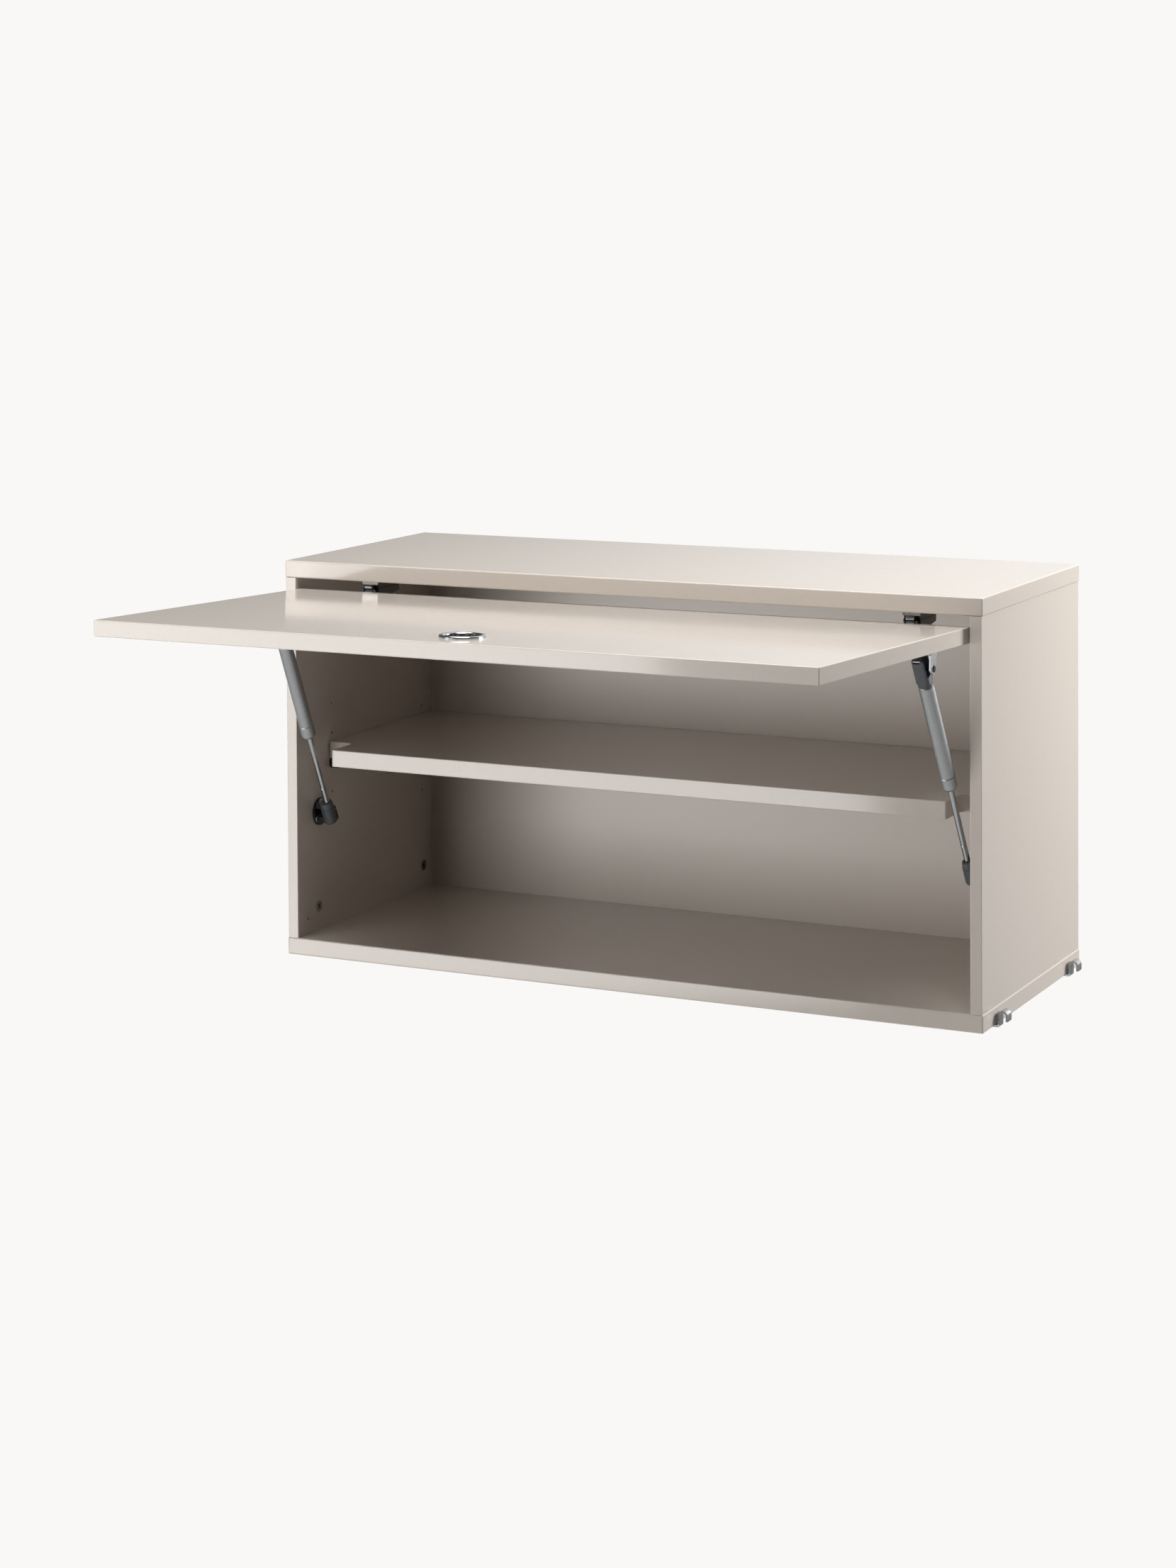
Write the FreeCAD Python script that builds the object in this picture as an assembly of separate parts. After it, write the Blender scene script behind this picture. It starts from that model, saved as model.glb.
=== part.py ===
import FreeCAD, Part
import math
import os

V = FreeCAD.Vector
UP = V(0, 0, 1)
RIGHT = V(1, 0, 0)
BACK = V(0, 1, 0)
os.makedirs("parts", exist_ok=True)

# Lift-up wall cabinet, millimetres.
# It is drawn with X to the right, Y from the front plane to the back and Z up from the
# underside, and moved at the end so that the origin lies midway between the four hooks.
# Pieces of the door are drawn closed and then swung open.

# carcass
cab_w = 780.0            # over the top and bottom boards
cab_d = 300.0
cab_h = 420.0
board_t = 18.0           # top and bottom boards
side_t = 12.0            # side boards
overhang = 1.0           # top and bottom stand past the sides by this
ease = 1.5               # rounding of board edges
back_t = 4.0
back_inset = 5.5         # rear face of the back board to the rear of the carcass
groove = 5.0             # how deep the back board goes into the boards round it
fit_gap = 0.15           # slip fit between boards and their grooves

# shelf
shelf_t = 18.0
shelf_z = 200.0          # underside
shelf_set_back = 19.0    # front edge behind the front plane
shelf_side_gap = 1.0
notch_w = 31.0           # front corner notches that clear the struts, from the side board
notch_d = 45.0
notch_r = 7.0
pin_r = 1.5
pin_depth = 8.0
pin_head_r = 5.5
pin_head_l = 8.0
pin_pitch = 32.0
pin_rows = 5
pin_front = 72.0         # hole columns from the front plane and from the rear
pin_rear = 32.0

# cam fittings that join sides to boards
cam_r = 6.0
cam_depth = 9.5
cam_rise = 25.5          # cam axis to the board it pulls on
cam_front = 43.0
cam_rear = 29.0
bolt_r = 3.0
bolt_grip = 11.0         # depth of the bolt in the board

# door, inset flap
door_t = 16.0
door_ease = 1.0
door_side_gap = 3.0
door_top_gap = 2.0
door_low_gap = 2.0
open_deg = 92.02         # swing from closed to the open stop
open_rear_y = 10.0       # rear edge of the upper face when open
open_drop = 11.73        # upper face below the top board's underside when open
ring_from_edge = 49.0    # finger hole centre from the free edge
ring_bore_r = 17.2
ring_wall = 1.1
ring_flange_r = 22.0
ring_proud = 2.7
ring_back_t = 1.5

# concealed hinges
hinge_from_side = 85.0   # hinge centre from the carcass end
cup_r = 17.5
cup_depth = 12.4
cup_edge = 4.5           # wood left between cup bore and door edge
cup_wall = 0.8
cup_flange_t = 1.2
cup_screw_x = 24.0
cup_screw_drop = 6.0
arm_w = 18.0
arm_front = 35.0
arm_len = 43.5
arm_drop = 19.5          # lowest point of the arm below the top board
arm_wall = 1.3
arm_step = 0.8           # the upper part of the arm's walls stands in by this
arm_step_drop = 11.0
plate_drop = 6.5
nose_w = 11.6
cheek_t = 1.3
eye_behind = 9.9         # lower pin of the arm nose, behind the closed door
eye_under = 13.3        # and below the open one
eye_r = 3.3
rivet_y = 31.5
rivet_drop = 13.9
rivet_r = 1.6
run_gap = 0.05
link_t = 1.8
link_swing = 30.4        # turn of the link as the door opens

# gas struts
tube_r = 7.5
tube_bore = 6.5
rod_r = 3.0
strut_top_in = 23.0      # upper ball from the side board
ball_stand = 17.0        # upper ball off the door's inner face
ball_below = 77.5        # upper ball from the door's top edge
strut_low_in = 14.6      # lower ball from the side board
strut_low_y = 42.2
strut_low_drop = 257.6
cap_len = 19.6           # upper ball to the tube
cap_over = 12.0          # end fitting past its ball
cap_w = 14.0
cap_d = 15.0
tube_len = 120.7
gland_len = 14.0
socket_len = 15.0        # lower ball to the rod
socket_over = 10.3
socket_r = 7.4
socket_off = 1.0         # middle of the fitting past the ball, toward the side board
ball_r = 4.9
ball_gap = 0.35
neck_r = 2.6
plate_r = 14.8
plate_t = 2.2
bracket_t = 1.5

# hooks
hook_t = 2.0
hook_w = 12.0
hook_r = 3.2             # inside radius, for the rung it hangs on
hook_gap = 1.6           # board end to the upright
hook_z = 9.4             # rung centre above the underside
hook_leg = 5.4           # outer leg below the rung centre
hook_tab = 35.0
hook_front = 43.0
hook_rear = 36.5

# screws
screw_r = 1.9
screw_head_r = 3.7
screw_len = 13.0
screw_fit = 0.05

half = cab_w / 2
side_out = half - overhang
side_in = side_out - side_t
top_z = cab_h - board_t
back_y = cab_d - back_inset - back_t
door_half = side_in - door_side_gap
door_top = top_z - door_top_gap
door_low = board_t + door_low_gap

# the hinge axis is the point that stays put between the closed and the open door
turn = math.radians(open_deg)
rear_z = top_z - open_drop
chord = math.hypot(open_rear_y, rear_z - door_top)
reach = chord / 2 / math.tan(turn / 2)
axis_y = open_rear_y / 2 + (rear_z - door_top) / chord * reach
axis_z = (door_top + rear_z) / 2 - open_rear_y / chord * reach

# the row origin, midway between the four hooks
rung_x = half + hook_gap + hook_t + hook_r
rung_rear = cab_d - hook_rear
origin = V(0, (hook_front + rung_rear) / 2, hook_z)

# places of the fittings
cam_ys = (cam_front, cab_d - cam_rear)
cam_low = board_t + cam_rise
cam_high = top_z - cam_rise
pin_ys = (pin_front, cab_d - pin_rear)
pin_mid = shelf_z - pin_head_r
pin_zs = [pin_mid + pin_pitch * (i - pin_rows // 2) for i in range(pin_rows)]
hook_ys = (hook_front, rung_rear)
hook_screw_xs = (half - 14.5, half - 25.0)
hinge_x = half - hinge_from_side
hinge_screw_ys = (arm_front + 9.0, arm_front + 27.0)
cup_z = door_top - cup_edge - cup_r
cup_screw_z = cup_z - cup_screw_drop
ring_z = door_low + ring_from_edge
eye_y = door_t + eye_behind


def box(x0, x1, y0, y1, z0, z1):
    return Part.makeBox(x1 - x0, y1 - y0, z1 - z0, V(x0, y0, z0))


def cyl(p, d, r, length):
    return Part.makeCylinder(r, length, p, d)


def eased(shape, r):
    return shape.makeFillet(r, shape.Edges)


def mirror(shape):
    return shape.mirror(V(0, 0, 0), RIGHT)


def both(shape):
    """The right-hand shape and its mirror image."""
    return [shape, mirror(shape)]


def rot_x(shape, y, z, deg):
    s = shape.copy()
    s.rotate(V(0, y, z), RIGHT, deg)
    return s


def swung(shape):
    """A closed-door shape turned about the hinge axis to the open door."""
    return rot_x(shape, axis_y, axis_z, -open_deg)


def prism(points, x0, x1):
    """A closed outline in Y and Z, drawn out along X."""
    pts = [V(x0, y, z) for y, z in points]
    face = Part.Face(Part.makePolygon(pts + [pts[0]]))
    return face.extrude(V(x1 - x0, 0, 0))


def strip(points, t, x0, x1):
    """A bent strip of thickness t along points in Y and Z, round at bends and ends."""
    parts = [cyl(V(x0, y, z), RIGHT, t / 2, x1 - x0) for y, z in points]
    for (y0, z0), (y1, z1) in zip(points, points[1:]):
        n = t / 2 / math.hypot(y1 - y0, z1 - z0)
        ny = (z0 - z1) * n
        nz = (y1 - y0) * n
        edge = [(y0 + ny, z0 + nz), (y1 + ny, z1 + nz), (y1 - ny, z1 - nz), (y0 - ny, z0 - nz)]
        parts.append(prism(edge, x0, x1))
    return parts[0].fuse(parts[1:]).removeSplitter()


def is_along(edge, axis):
    """True for a straight edge that runs along X, Y or Z (0, 1 or 2)."""
    if edge.Curve.TypeId not in ("Part::GeomLine", "Part::GeomLineSegment"):
        return False
    d = edge.Vertexes[-1].Point - edge.Vertexes[0].Point
    return abs(d[axis]) > 0.999 * d.Length


def rounded(shape, r, test):
    return shape.makeFillet(r, [e for e in shape.Edges if test(e)])


def turned(profile, p, d):
    """A closed outline in radius and height, revolved and stood at p along d."""
    pts = [V(r, 0, h) for r, h in profile]
    face = Part.Face(Part.makePolygon(pts + [pts[0]]))
    s = face.revolve(V(0, 0, 0), UP, 360)
    return placed(s, p, d)


def ball_on_neck(p, d, length, collar_at, collar_r, collar_t, head_r=neck_r, head_t=0.8):
    """A ball at p on a neck along d, with a collar and a riveted end, as one revolved piece."""
    a = math.asin(neck_r / ball_r)
    rim = V(neck_r, 0, ball_r * math.cos(a))
    arc = Part.Arc(V(0, 0, -ball_r), V(ball_r, 0, 0), rim).toShape()
    path = [rim, V(neck_r, 0, collar_at), V(collar_r, 0, collar_at), V(collar_r, 0, collar_at + collar_t),
            V(neck_r, 0, collar_at + collar_t)]
    if head_r > neck_r:
        path += [V(neck_r, 0, length - head_t), V(head_r, 0, length - head_t)]
    path += [V(head_r, 0, length - 0.3), V(head_r - 0.3, 0, length), V(0, 0, length), V(0, 0, -ball_r)]
    wire = Part.Wire([arc] + Part.makePolygon(path).Edges)
    return placed(Part.Face(wire).revolve(V(0, 0, 0), UP, 360), p, d)


def placed(shape, p, d):
    s = shape.copy()
    s.Placement = FreeCAD.Placement(p, FreeCAD.Rotation(UP, d)).multiply(s.Placement)
    return s


def save(name, shapes):
    """Write one node, moved so that the row origin is at zero."""
    if not isinstance(shapes, list):
        shapes = [shapes]
    solids = []
    for shape in shapes:
        s = shape.copy()
        s.translate(V(0, 0, 0) - origin)
        solids += s.Solids
    out = solids[0] if len(solids) == 1 else Part.makeCompound(solids)
    out.exportStep("parts/" + name + ".step")
    ok = all(s.isValid() for s in solids)
    print(name, len(solids), round(sum(s.Volume for s in solids) / 1000, 3), "" if ok else "BAD")


def save_pair(name, shapes):
    """The right-hand piece and its mirror image as two nodes."""
    if not isinstance(shapes, list):
        shapes = [shapes]
    save(name + "_right", shapes)
    save(name + "_left", [mirror(s) for s in shapes])


def cross_recess(z0, depth):
    size = screw_head_r * 0.62
    a = box(-size, size, -0.45, 0.45, z0 - 1, z0 + depth)
    b = box(-0.45, 0.45, -size, size, z0 - 1, z0 + depth)
    return a.fuse(b)


def sunk_screw(length):
    """Countersunk screw: head flush at the origin, shank along +Z."""
    head = Part.makeCone(screw_head_r, screw_r, screw_head_r - screw_r)
    s = head.fuse(cyl(V(0, 0, 0), UP, screw_r, length)).removeSplitter()
    return s.cut(cross_recess(0, 1.2))


def pan_screw(length, head_h):
    """Low round head below the origin, shank along +Z."""
    head = cyl(V(0, 0, -head_h), UP, screw_head_r, head_h)
    head = rounded(head, head_h * 0.55, lambda e: abs(e.Vertexes[0].Point.z + head_h) < 0.01)
    s = head.fuse(cyl(V(0, 0, 0), UP, screw_r, length)).removeSplitter()
    return s.cut(cross_recess(-head_h, head_h * 0.6))


def sunk_hole(p, d, t):
    """Countersunk hole through a sheet of thickness t, for a screw put in along d."""
    cone = Part.makeCone(screw_head_r + 0.1, screw_r + 0.1, screw_head_r - screw_r, p, d)
    return cone.fuse(cyl(p - d, d, screw_r + 0.1, t + 2))


# ---- boards ----
top = eased(box(-half, half, 0, cab_d, top_z, cab_h), ease)
bottom = eased(box(-half, half, 0, cab_d, 0, board_t), ease)
side = box(side_in, side_out, 0, cab_d, board_t, top_z)
side = rounded(side, 0.8, lambda e: is_along(e, 2))

slot = box(-side_in - groove, side_in + groove, back_y - fit_gap, back_y + back_t + fit_gap,
           board_t - groove, top_z + groove)
top = top.cut(slot)
bottom = bottom.cut(slot)
side = side.cut(slot)

bolt_x = side_in + side_t / 2
bolt_len = bolt_grip + cam_rise
for y in cam_ys:
    for z in (cam_low, cam_high):
        side = side.cut(cyl(V(side_in - 1, y, z), RIGHT, cam_r + 0.1, cam_depth + 1))
    low = cyl(V(bolt_x, y, board_t - bolt_grip), UP, bolt_r + 0.1, bolt_len)
    high = cyl(V(bolt_x, y, cam_high), UP, bolt_r + 0.1, bolt_len)
    side = side.cut(low).cut(high)
    for b in both(low):
        bottom = bottom.cut(b)
    for b in both(high):
        top = top.cut(b)
for y in pin_ys:
    for z in pin_zs:
        side = side.cut(cyl(V(side_in - 1, y, z), RIGHT, pin_r + 0.05, pin_depth + 1))
side = side.cut(cyl(V(side_in - 1, 20.1, board_t + 16.4), RIGHT, 1.5, 7.0))

for x in hook_screw_xs:
    for y in hook_ys:
        for hole in both(cyl(V(x, y, -1), UP, screw_r + screw_fit, screw_len)):
            bottom = bottom.cut(hole)
for y in hinge_screw_ys:
    for hole in both(cyl(V(hinge_x, y, top_z - 1), UP, screw_r + screw_fit, screw_len - plate_drop + 2)):
        top = top.cut(hole)

back = box(-side_in - groove + fit_gap, side_in + groove - fit_gap, back_y, back_y + back_t,
           board_t - groove + fit_gap, top_z + groove - fit_gap)

# ---- shelf ----
shelf_half = side_in - shelf_side_gap
notch_x = side_in - notch_w
notch_y = shelf_set_back + notch_d
shelf = box(-shelf_half, shelf_half, shelf_set_back, back_y - 1.0, shelf_z, shelf_z + shelf_t)
for cut in both(box(notch_x, half, 0, notch_y, shelf_z - 1, shelf_z + shelf_t + 1)):
    shelf = shelf.cut(cut)


def in_notch(e):
    p = e.Vertexes[0].Point
    return is_along(e, 2) and abs(abs(p.x) - notch_x) < 0.01 and abs(p.y - notch_y) < 0.01


def on_front_corner(e):
    p = e.Vertexes[0].Point
    at_nose = abs(p.y - shelf_set_back) < 0.01
    at_ear = abs(abs(p.x) - shelf_half) < 0.01 and abs(p.y - notch_y) < 0.01
    return is_along(e, 2) and (at_nose or at_ear)


shelf = rounded(shelf, notch_r, in_notch)
shelf = rounded(shelf, 2.0, on_front_corner)
shelf = eased(shelf, 1.0)

pins = []
for y in pin_ys:
    peg = cyl(V(side_in - pin_head_l, y, pin_mid), RIGHT, pin_r, pin_head_l + pin_depth - 0.5)
    head = cyl(V(side_in - pin_head_l, y, pin_mid), RIGHT, pin_head_r + 0.8, pin_head_l - 0.1)
    head = head.common(box(0, half, y - 20, y + 20, 0, shelf_z))
    pins += both(peg.fuse(head).removeSplitter())

# ---- cams and their bolts ----
cams = []
bolts = []
for y in cam_ys:
    for z, up in ((cam_low, 1), (cam_high, -1)):
        cam = cyl(V(side_in + 0.1, y, z), RIGHT, cam_r, cam_depth - 0.3)
        for bar_turn in (45, 135):
            bar = box(side_in - 1, side_in + 2.2, y - 3.6, y + 3.6, z - 0.7, z + 0.7)
            cam = cam.cut(rot_x(bar, y, z, bar_turn))
        cam = cam.cut(cyl(V(bolt_x, y, z), UP * -up, bolt_r + 0.1, cam_r + 1))
        cams += both(cam)
        foot = V(bolt_x, y, z - up * (bolt_len - 0.3))
        bolt = cyl(foot, UP * up, bolt_r, bolt_len - 5.0)
        bolt = bolt.fuse(cyl(foot, UP * up, bolt_r - 1.0, bolt_len - 1.5))
        bolt = bolt.fuse(Part.makeSphere(bolt_r - 0.4, V(bolt_x, y, z - up * 2.8)))
        bolts += both(bolt.removeSplitter())

save("top_panel", top)
save("bottom_panel", bottom)
save("back_panel", back)
save("shelf", shelf)
save("shelf_pins", pins)
save("cam_locks", cams)
save("cam_bolts", bolts)

# ---- hooks ----
hook_up = half + hook_gap
hook_out_r = hook_r + hook_t


def hook(y):
    """A strip bent under the board, up its end and over the rung, open below."""
    w0 = y - hook_w / 2
    w1 = y + hook_w / 2
    arch = cyl(V(rung_x, w0, hook_z), BACK, hook_out_r, hook_w)
    arch = arch.cut(cyl(V(rung_x, w0 - 1, hook_z), BACK, hook_r, hook_w + 2))
    keep = box(rung_x - hook_out_r, rung_x + hook_out_r, w0, w1, hook_z, hook_z + hook_out_r)
    leg = box(rung_x + hook_r, rung_x + hook_out_r, w0, w1, hook_z - hook_leg, hook_z)
    upright = box(hook_up, hook_up + hook_t, w0, w1, -hook_t, hook_z)
    tab = box(hook_up + hook_t - hook_tab, hook_up + hook_t, w0, w1, -hook_t, 0)
    h = arch.common(keep).fuse([leg, upright, tab]).removeSplitter()

    def bend(e):
        p = e.Vertexes[0].Point
        return is_along(e, 1) and abs(p.x - hook_up - hook_t) < 0.01 and p.z < 0.01

    def tips(e):
        p = e.Vertexes[0].Point
        return is_along(e, 2) and abs(p.x - hook_up - hook_t + hook_tab) < 0.01

    h = rounded(h, hook_t - 0.1, bend)
    h = rounded(h, 4.0, tips)
    for x in hook_screw_xs:
        h = h.cut(sunk_hole(V(x, y, -hook_t), UP, hook_t))
    return h


hook_screws = []
for place, y in (("front", hook_ys[0]), ("rear", hook_ys[1])):
    save_pair("hook_" + place, hook(y))
    for x in hook_screw_xs:
        hook_screws += both(placed(sunk_screw(screw_len), V(x, y, -hook_t), UP))
save("hook_screws", hook_screws)

# ---- hinges, fixed half ----
plate_low = top_z - plate_drop
eye_z = rear_z - door_t - eye_under
rivet_z = top_z - rivet_drop
arm_low = top_z - arm_drop
arm_back = arm_front + arm_len
hx = hinge_x

mount = box(hx - arm_w / 2 + 2.2, hx + arm_w / 2 - 2.2, arm_front - 1.0, arm_back - 4, plate_low, top_z)
mount = rounded(mount, 2.0, lambda e: is_along(e, 2) and e.Vertexes[0].Point.y > arm_front)
lip = box(hx - arm_w / 2 - 0.4, hx + arm_w / 2 + 0.4, arm_front - 2.2, arm_front - 1.0,
          plate_low - 1.0, top_z)
lip = rounded(lip, 1.0, lambda e: is_along(e, 1) and e.Vertexes[0].Point.z < top_z - 1)
mount = mount.fuse(lip).removeSplitter()
for y in hinge_screw_ys:
    mount = mount.cut(sunk_hole(V(hx, y, plate_low), UP, plate_drop))
slot_y = arm_front + 18.0
mount = mount.cut(cyl(V(hx, slot_y, plate_low - 1), UP, 2.2, 5.5))

# a pressed channel, deepest near its rear, with its upper walls stepped in
arm_bow = arm_low + 4.4
crank = [(arm_front, top_z - 0.4), (arm_back, top_z - 0.4), (arm_back, arm_low + 2.0),
         (arm_back - 15.0, arm_low), (arm_front, arm_bow)]
arm = prism(crank, hx - arm_w / 2, hx + arm_w / 2)
arm = rounded(arm, 1.2, lambda e: is_along(e, 0) and e.Vertexes[0].Point.z < top_z - 1)
step_z = top_z - arm_step_drop
inner = arm_w / 2 - arm_wall
step_out = [(inner + arm_wall + 1, step_z - 0.5), (inner + arm_wall, step_z - 0.5),
            (inner + arm_wall - arm_step, step_z + 0.5), (inner + arm_wall - arm_step, top_z),
            (inner + arm_wall + 1, top_z)]
for s in (-1, 1):
    wire = Part.makePolygon([V(hx + s * x, arm_front - 1, z) for x, z in step_out + step_out[:1]])
    arm = arm.cut(Part.Face(wire).extrude(BACK * (arm_len + 2)))
hollow = [(arm_front - 1, top_z + 1), (arm_back + 1, top_z + 1), (arm_back + 1, arm_low + 2.0 + arm_wall),
          (arm_back - 15.0, arm_low + arm_wall), (arm_front - 1, arm_bow + 0.2 + arm_wall)]
hollow = prism(hollow, hx - inner, hx + inner)
narrow = hollow.common(box(hx - inner + arm_step - 0.1, hx + inner - arm_step + 0.1, 0, cab_d,
                           step_z - 1, top_z + 1))
arm = arm.cut(hollow.cut(box(hx - arm_w, hx + arm_w, 0, cab_d, step_z - 1, top_z + 2))).cut(narrow)
arm = arm.cut(cyl(V(hx, slot_y, arm_low - 3), UP, 2.2, 8))

# the nose: two cheeks with a web behind them, from the channel down to the pin
nose_top = plate_low - 1.1
rivet_front = rivet_y - rivet_r
front_edge = [(arm_front + 1.5, nose_top), (arm_front - 4.2, nose_top), (arm_front - 7.2, nose_top - 3.5),
              (rivet_front, rivet_z + 2.0), (rivet_front - 0.2, rivet_z - 2.2),
              (arm_front - 8.2, rivet_z - 8.0), (eye_y - eye_r, eye_z + 1.0)]
rear_edge = [(eye_y + eye_r, eye_z + 0.4), (arm_front + 1.5, arm_bow - 2.9)]
nose = prism(front_edge + rear_edge, hx - nose_w / 2, hx + nose_w / 2)
nose = nose.fuse(cyl(V(hx - nose_w / 2, eye_y, eye_z), RIGHT, eye_r + 0.4, nose_w)).removeSplitter()
web = 1.3
open_front = [(arm_front - 30, top_z), (arm_front - 0.4, top_z), (arm_front - 0.4, arm_bow + 0.3),
              (eye_y + eye_r + 3.2, eye_z + 12.0), (eye_y + eye_r + 0.9, eye_z + 4.0),
              (eye_y + eye_r + 3, eye_z - 9), (eye_y - 20, eye_z - 9)]
nose = nose.cut(prism(open_front, hx - nose_w / 2 + cheek_t, hx + nose_w / 2 - cheek_t))
nose = nose.cut(box(hx - arm_w / 2 + arm_wall, hx + arm_w / 2 - arm_wall, arm_front + 0.1, arm_back,
                    arm_bow + 1.6, top_z))
for y, z in ((eye_y, eye_z), (rivet_y, rivet_z)):
    nose = nose.cut(cyl(V(hx - nose_w, y, z), RIGHT, rivet_r, 2 * nose_w))
arm = arm.fuse(nose).removeSplitter()

rivets = []
for y, z in ((eye_y, eye_z), (rivet_y, rivet_z)):
    pin = cyl(V(hx - nose_w / 2 - 0.6, y, z), RIGHT, rivet_r, nose_w + 1.2)
    for end in (-1, 1):
        head = Part.makeSphere(rivet_r + 0.6, V(hx + end * (nose_w / 2 - 0.9), y, z))
        x0 = hx + end * nose_w / 2
        slab = box(min(x0, x0 + end * 3), max(x0, x0 + end * 3), y - 5, y + 5, z - 5, z + 5)
        pin = pin.fuse(head.common(slab))
    rivets.append(pin.removeSplitter())

# bright roll that the closing spring turns on, between the cheeks
roll_y = arm_front - 4.4
roll_z = top_z - 9.7
roll = cyl(V(hx - nose_w / 2 + cheek_t, roll_y, roll_z), RIGHT, 2.1, nose_w - 2 * cheek_t)
roll = roll.fuse(strip([(roll_y, roll_z + 1.3), (arm_front - 1.6, plate_low - 2.3)], 1.4,
                       hx - nose_w / 2 + cheek_t + 0.6, hx + nose_w / 2 - cheek_t - 0.6)).removeSplitter()

arm_screws = [placed(sunk_screw(screw_len), V(hx, y, plate_low), UP) for y in hinge_screw_ys]
arm_face = arm_bow - (arm_bow - arm_low) * 18.0 / (arm_len - 15.0)
clamp = placed(pan_screw(plate_low + 4.0 - arm_face, 1.4), V(hx, slot_y, arm_face - 0.6), UP)
arm_screws.append(clamp)
save_pair("hinge_plate", mount)
save_pair("hinge_arm", arm)
save_pair("hinge_rivets", rivets)
save_pair("hinge_roll", roll)
save_pair("hinge_screws", arm_screws)


# ---- hinge link, drawn closed and turned to the open door ----
link_half = nose_w / 2 - cheek_t - 0.3
bend = [(eye_y, eye_z), (door_t - 3.4, cup_z), (door_t - 7.9, cup_z + 3.8), (door_t - 4.8, cup_z + 10.0)]
link = strip(bend, link_t, hx - link_half, hx + link_half)
link = link.fuse(cyl(V(hx - link_half, eye_y, eye_z), RIGHT, eye_r - 0.3, 2 * link_half))
link = link.fuse(cyl(V(hx - link_half, *bend[-1]), RIGHT, 1.6, 2 * link_half)).removeSplitter()
link = link.cut(cyl(V(hx - nose_w, eye_y, eye_z), RIGHT, rivet_r + run_gap, 2 * nose_w))
save_pair("hinge_link", rot_x(link, eye_y, eye_z, link_swing))

# ---- door ----
door = eased(box(-door_half, door_half, 0, door_t, door_low, door_top), door_ease)
for bore in both(cyl(V(hinge_x, door_t - cup_depth, cup_z), BACK, cup_r, cup_depth + 1)):
    door = door.cut(bore)
ring_tube_r = ring_bore_r + ring_wall
door = door.cut(cyl(V(0, -1, ring_z), BACK, ring_tube_r + 0.1, door_t + 2))

cup_in = door_t - cup_depth + cup_wall
cup = cyl(V(hx, door_t - cup_depth + 0.1, cup_z), BACK, cup_r - 0.05, cup_depth - 0.1)
cup = rounded(cup, 2.0, lambda e: abs(e.Vertexes[0].Point.y - door_t + cup_depth - 0.1) < 0.01)
wing = box(hx - cup_screw_x, hx + cup_screw_x, door_t, door_t + cup_flange_t,
           cup_screw_z - 5.5, cup_screw_z + 5.5)
cup = cup.fuse([wing, cyl(V(hx, door_t, cup_z), BACK, cup_r + 2.0, cup_flange_t)])
for s in (-1, 1):
    cup = cup.fuse(cyl(V(hx + s * cup_screw_x, door_t, cup_screw_z), BACK, 5.5, cup_flange_t))
cup = cup.removeSplitter()
hollow = cyl(V(hx, cup_in, cup_z), BACK, cup_r - cup_wall, cup_depth + 4)
cup = cup.cut(rounded(hollow, 1.4, lambda e: abs(e.Vertexes[0].Point.y - cup_in) < 0.01))
cup_screws = []
for s in (-1, 1):
    p = V(hx + s * cup_screw_x, door_t + cup_flange_t, cup_screw_z)
    cup = cup.cut(cyl(p - BACK * 3, BACK, screw_r + 0.1, 5))
    cup_screws.append(placed(pan_screw(11.0, 1.6), p, BACK * -1))
    for hole in both(cyl(p - BACK * 12, BACK, screw_r + screw_fit, 13)):
        door = door.cut(hole)

# ---- door brackets of the struts ----
ball_c = V(side_in - strut_top_in, door_t + ball_stand, door_top - ball_below)
ball_top_open = swung(Part.Vertex(ball_c)).Vertexes[0].Point
bx1 = side_in - 11.0
bx0 = bx1 - 28.0
bz0 = ball_c.z - 14.5
bz1 = ball_c.z + 10.5
tip_y = ball_c.y
foot = door_t + bracket_t
tab_a = prism([(door_t, ball_c.z - 8.6), (tip_y + 1.0, ball_c.z - 8.6), (tip_y + 3.6, ball_c.z - 5.6),
               (tip_y + 5.8, ball_c.z - 1.0), (tip_y + 5.8, ball_c.z + 1.4), (tip_y + 1.2, ball_c.z + 4.6),
               (tip_y - 4.0, ball_c.z + 6.8), (foot + 1, ball_c.z + 8.6), (door_t, ball_c.z + 8.6)],
              bx1 - bracket_t, bx1)
tab_a = rounded(tab_a, 1.2, lambda e: is_along(e, 0) and e.Vertexes[0].Point.y > foot + 2)
tab_a = tab_a.cut(cyl(V(bx1 - 5, foot + 1.0, ball_c.z - 8.6), RIGHT, 1.1, 10))
flange = box(bx0, bx1, door_t, foot, bz0, bz1)
flange = rounded(flange, 4.0, lambda e: is_along(e, 1) and abs(e.Vertexes[0].Point.x - bx0) < 0.01)
bracket = tab_a.fuse(flange).removeSplitter()
bracket_screws = []
for z in (bz0 + 6.0, bz1 - 6.0):
    p = V(bx0 + 7.0, foot, z)
    bracket = bracket.cut(cyl(p - BACK * 3, BACK, screw_r + 0.1, 5))
    bracket_screws.append(placed(pan_screw(11.0, 1.6), p, BACK * -1))
    for hole in both(cyl(p - BACK * 12, BACK, screw_r + screw_fit, 13)):
        door = door.cut(hole)
bracket = bracket.cut(cyl(V(bx1 - 5, tip_y, ball_c.z), RIGHT, neck_r, 10))
tab_in = bx1 - bracket_t - ball_c.x
ball_stud = ball_on_neck(ball_c, RIGHT, tab_in + bracket_t + 0.8, tab_in - 1.4, 4.2, 1.4, 3.4)

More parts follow.
